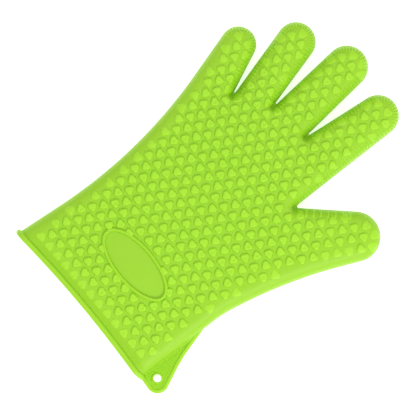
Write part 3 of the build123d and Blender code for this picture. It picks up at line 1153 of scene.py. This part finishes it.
def silicone(name, finish, painted_light_scale, roughness, grain):
    """Satin moulded silicone: soft colour patches, fine matt grain and slight waviness, its colours
    scaled lighter or darker to paint light or shade.
    """
    material = bpy.data.materials.new(name)
    material.use_nodes = True
    tree = material.node_tree
    shader = tree.nodes["Principled BSDF"]
    place = add_node(tree, "ShaderNodeTexCoord")
    patches = add_node(
        tree, "ShaderNodeTexNoise", [("Scale", 38.0), ("Detail", 3.0), ("Roughness", 0.55)],
    )
    colours = add_node(tree, "ShaderNodeMix", data_type="RGBA")
    # Both colours are scaled lighter or darker here. This is painted light or painted shade, not a
    # different silicone.
    colours.inputs[6].default_value = (*(painted_light_scale * part for part in finish.skin_deep), 1)
    colours.inputs[7].default_value = (*(painted_light_scale * part for part in finish.skin), 1)
    fine = add_node(tree, "ShaderNodeTexNoise", [("Scale", 1500.0), ("Detail", 2.0)])
    waves = add_node(tree, "ShaderNodeTexNoise", [("Scale", 260.0), ("Detail", 2.0)])
    sheen_range = add_node(
        tree, "ShaderNodeMapRange", [("To Min", roughness - 0.06), ("To Max", roughness + 0.08)],
    )
    wave_bump = add_node(tree, "ShaderNodeBump", [("Strength", 0.10), ("Distance", 0.0004)])
    grain_bump = add_node(tree, "ShaderNodeBump", [("Strength", grain), ("Distance", 0.00006)])
    for texture in (patches, fine, waves):
        tree.links.new(place.outputs["Object"], texture.inputs["Vector"])
    links = [
        (patches.outputs["Fac"], colours.inputs[0]),
        (colours.outputs[2], shader.inputs["Base Color"]),
        (waves.outputs["Fac"], sheen_range.inputs["Value"]),
        (sheen_range.outputs["Result"], shader.inputs["Roughness"]),
        (waves.outputs["Fac"], wave_bump.inputs["Height"]),
        (fine.outputs["Fac"], grain_bump.inputs["Height"]),
        (wave_bump.outputs["Normal"], grain_bump.inputs["Normal"]),
        (grain_bump.outputs["Normal"], shader.inputs["Normal"]),
    ]
    for source, target in links:
        tree.links.new(source, target)
    shader.inputs["Specular IOR Level"].default_value = 0.3
    return material


class GLOVE_OT_make_finishes(bpy.types.Operator):
    """Make the silicone materials: one slightly darkened copy as painted shade and two lightened copies
    as painted highlights
    """
    bl_idname = "glove.make_finishes"
    bl_label = "Finishes"

    def execute(self, context):
        finish = context.scene.glove_finish
        # Skin: the silicone slightly darkened, painted shade for the hollows between the studs.
        silicone("skin_painted_shade", finish, 0.97, finish.roughness, 0.5)
        # Studs and ribs: the silicone lightened, a painted highlight on their tops.
        silicone("stud_painted_highlight", finish, 1.13, finish.roughness - 0.04, 0.35)
        # Rim, oval ring and tab: the silicone lightened, a painted highlight on the raised trim.
        silicone("trim_painted_highlight", finish, 1.06, finish.roughness - 0.06, 0.35)
        return {"FINISHED"}


# ---------------------------------------------------------------- stage

def area_light(name, place, size, power):
    """A soft square light that faces the middle of the glove."""
    light = bpy.data.lights.new(name, "AREA")
    light.shape = "SQUARE"
    light.size = size
    light.energy = power
    lamp = bpy.data.objects.new(name, light)
    lamp.location = place
    lamp.rotation_euler = (-Vector(place)).to_track_quat("-Z", "Y").to_euler()
    bpy.context.scene.collection.objects.link(lamp)


class GLOVE_OT_set_stage(bpy.types.Operator):
    """Set the floor, the lights and the overhead camera"""
    bl_idname = "glove.set_stage"
    bl_label = "Stage"

    def execute(self, context):
        stage, finish = context.scene.glove_stage, context.scene.glove_finish
        half = stage.floor_size / 2
        mesh = bpy.data.meshes.new("floor")
        corners = [(-half, -half, 0), (half, -half, 0), (half, half, 0), (-half, half, 0)]
        mesh.from_pydata(corners, [], [(0, 1, 2, 3)])
        floor = bpy.data.objects.new("floor", mesh)
        context.scene.collection.objects.link(floor)
        material = bpy.data.materials.new("floor")
        material.use_nodes = True
        shader = material.node_tree.nodes["Principled BSDF"]
        shader.inputs["Base Color"].default_value = (*finish.floor, 1)
        shader.inputs["Roughness"].default_value = 0.9
        shader.inputs["Emission Color"].default_value = (1, 1, 1, 1)
        shader.inputs["Emission Strength"].default_value = stage.floor_glow
        mesh.materials.append(material)

        world = bpy.data.worlds.new("surroundings")
        world.use_nodes = True
        tree = world.node_tree
        place = add_node(tree, "ShaderNodeTexCoord")
        split = add_node(tree, "ShaderNodeSeparateXYZ")
        overhead = add_node(
            tree, "ShaderNodeMapRange",
            [("From Max", OVERHEAD_FROM), ("To Min", stage.sky * HORIZON_SHARE), ("To Max", stage.sky)],
        )
        tree.links.new(place.outputs["Generated"], split.inputs[0])
        tree.links.new(split.outputs["Z"], overhead.inputs["Value"])
        tree.links.new(overhead.outputs["Result"], tree.nodes["Background"].inputs["Strength"])
        tree.nodes["Background"].inputs["Color"].default_value = (1, 1, 1, 1)
        context.scene.world = world
        area_light("key_light", *KEY_LIGHT, stage.key_power)
        area_light("fill_light", *FILL_LIGHT, stage.fill_power)

        target = frame_point(VIEW_TARGET)
        camera = bpy.data.cameras.new("overhead")
        camera.sensor_width = 36.0
        camera.lens = camera.sensor_width * (stage.view_height - target.z) / stage.view_width
        camera.clip_end = 20
        view = bpy.data.objects.new("overhead", camera)
        view.location = (target.x, target.y, stage.view_height)
        view.rotation_euler = (0, 0, VIEW_TURN)
        context.scene.collection.objects.link(view)
        context.scene.camera = view
        context.scene.view_settings.view_transform = "Standard"
        return {"FINISHED"}


class GLOVE_PT_panel(bpy.types.Panel):
    """Lists the steps that make the glove"""
    bl_label = "Glove"
    bl_idname = "GLOVE_PT_panel"
    bl_space_type = "VIEW_3D"
    bl_region_type = "UI"
    bl_category = "Glove"

    def draw(self, context):
        for step in STEPS:
            self.layout.operator(step.bl_idname)


SETTINGS = {
    "glove_skin": GloveSkinSettings,
    "glove_studs": GloveStudSettings,
    "glove_trim": GloveTrimSettings,
    "glove_finish": GloveFinishSettings,
    "glove_stage": GloveStageSettings,
}
STEPS = [
    GLOVE_OT_make_finishes,
    GLOVE_OT_make_skin,
    GLOVE_OT_make_studs,
    GLOVE_OT_make_ribs,
    GLOVE_OT_make_parting_line,
    GLOVE_OT_make_cuff_rim,
    GLOVE_OT_make_oval_frame,
    GLOVE_OT_make_hang_tab,
    GLOVE_OT_set_stage,
]


def register():
    """Add the settings, steps and panel to Blender."""
    for name, settings in SETTINGS.items():
        bpy.utils.register_class(settings)
        setattr(bpy.types.Scene, name, PointerProperty(type=settings))
    for step in STEPS:
        bpy.utils.register_class(step)
    bpy.utils.register_class(GLOVE_PT_panel)


def unregister():
    """Take them out again."""
    bpy.utils.unregister_class(GLOVE_PT_panel)
    for step in reversed(STEPS):
        bpy.utils.unregister_class(step)
    for name, settings in SETTINGS.items():
        delattr(bpy.types.Scene, name)
        bpy.utils.unregister_class(settings)


def main():
    """Make the glove step by step."""
    register()
    for step in STEPS:
        group, action = step.bl_idname.split(".")
        getattr(getattr(bpy.ops, group), action)()


if __name__ == "__main__":
    main()
